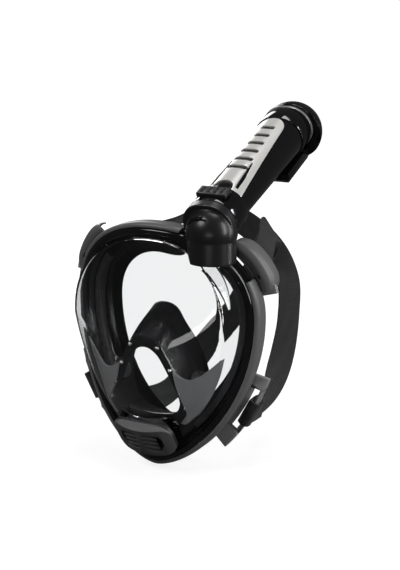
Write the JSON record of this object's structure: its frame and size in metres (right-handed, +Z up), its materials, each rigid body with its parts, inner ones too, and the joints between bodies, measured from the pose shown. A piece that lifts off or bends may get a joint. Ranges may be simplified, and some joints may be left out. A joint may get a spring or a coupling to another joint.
{
  "type": "full face snorkel",
  "caption": "Full face snorkel mask: clear bowed lens in a rim, silicone skirt with nose and mouth pocket, chin purge vent, crossed head straps and a plug-in dry-top breathing tube.",
  "frame": {"origin": "centre of the face opening, on the plane of the face seal's rear edge", "axes": "+Z up as worn, +Y towards the wearer's face and the back of the head, +X to the wearer's left"},
  "size_m": [0.198, 0.2301, 0.3045],
  "materials": {
    "clear_lens": "clear, polished",
    "gloss_black": "gloss moulded plastic",
    "band_grey": "satin moulded plastic",
    "silicone_black": "glossy soft silicone",
    "plate_grey": "satin moulded plastic",
    "pin_steel": "bright",
    "duct_black": "satin moulded plastic",
    "vent_grey": "fine matt grain",
    "valve_grey": "soft silicone",
    "elbow_charcoal": "satin moulded plastic",
    "clip_grey": "satin moulded plastic",
    "strap_black": "woven elastic webbing",
    "plate_silver": "satin metallic paint",
    "trim_grey": "satin metallic paint",
    "float_white": "matt"
  },
  "bodies": {
    "mask": {"lens": "clear_lens", "air_channel": "clear_lens", "rim_frame": "gloss_black", "rim_band": "band_grey", "skirt": "silicone_black", "nose_pocket": "silicone_black", "wing_plate_left": "plate_grey", "wing_plate_right": "plate_grey", "pocket_pins": "pin_steel", "side_duct_left": "duct_black", "side_duct_right": "duct_black", "vent_housing": "duct_black", "vent_cover": "vent_grey", "valve_seat_left": "duct_black", "valve_seat_right": "duct_black", "socket_elbow": "elbow_charcoal", "clip_upper_left": "clip_grey", "clip_upper_right": "clip_grey", "clip_lower_left": "clip_grey", "clip_lower_right": "clip_grey", "strap_a": "strap_black", "strap_b": "strap_black"},
    "snorkel": {"collar": "gloss_black", "plug_seal": "valve_grey", "tube": "gloss_black", "tube_divider": "duct_black", "face_plate": "plate_silver", "dry_top_base": "gloss_black", "trim_ring": "trim_grey", "dome_cap": "gloss_black", "dome_insert": "trim_grey", "inlet_housing": "gloss_black", "float_cage": "duct_black"},
    "button": {"latch_button": "duct_black"},
    "float": {"float_valve": "float_white"},
    "purge": {"purge_valve": "valve_grey"},
    "inhale_left": {"inhale_valve_left": "valve_grey"},
    "inhale_right": {"inhale_valve_right": "valve_grey"}
  },
  "joints": [
    {"name": "snorkel_release", "type": "slide", "parent": "mask", "child": "snorkel", "axis": [0, 0.9272, 0.3746], "range_m": [0, 0.025]},
    {"name": "latch_press", "type": "slide", "parent": "snorkel", "child": "button", "axis": [0, 0.3746, -0.9272], "range_m": [0, 0.0016], "stiffness_N_per_m": 800, "springref_m": -0.001},
    {"name": "float_slide", "type": "slide", "parent": "snorkel", "child": "float", "axis": [0, 0.9272, 0.3746], "range_m": [0, 0.006]},
    {"name": "purge_lift", "type": "slide", "parent": "mask", "child": "purge", "axis": [0, -0.8599, -0.5105], "range_m": [0, 0.0018], "stiffness_N_per_m": 60, "springref_m": -0.001},
    {"name": "inhale_left_lift", "type": "slide", "parent": "mask", "child": "inhale_left", "axis": [-1, 0, 0], "range_m": [0, 0.0015], "stiffness_N_per_m": 40, "springref_m": -0.001},
    {"name": "inhale_right_lift", "type": "slide", "parent": "mask", "child": "inhale_right", "axis": [1, 0, 0], "range_m": [0, 0.0015], "stiffness_N_per_m": 40, "springref_m": -0.001}
  ]
}
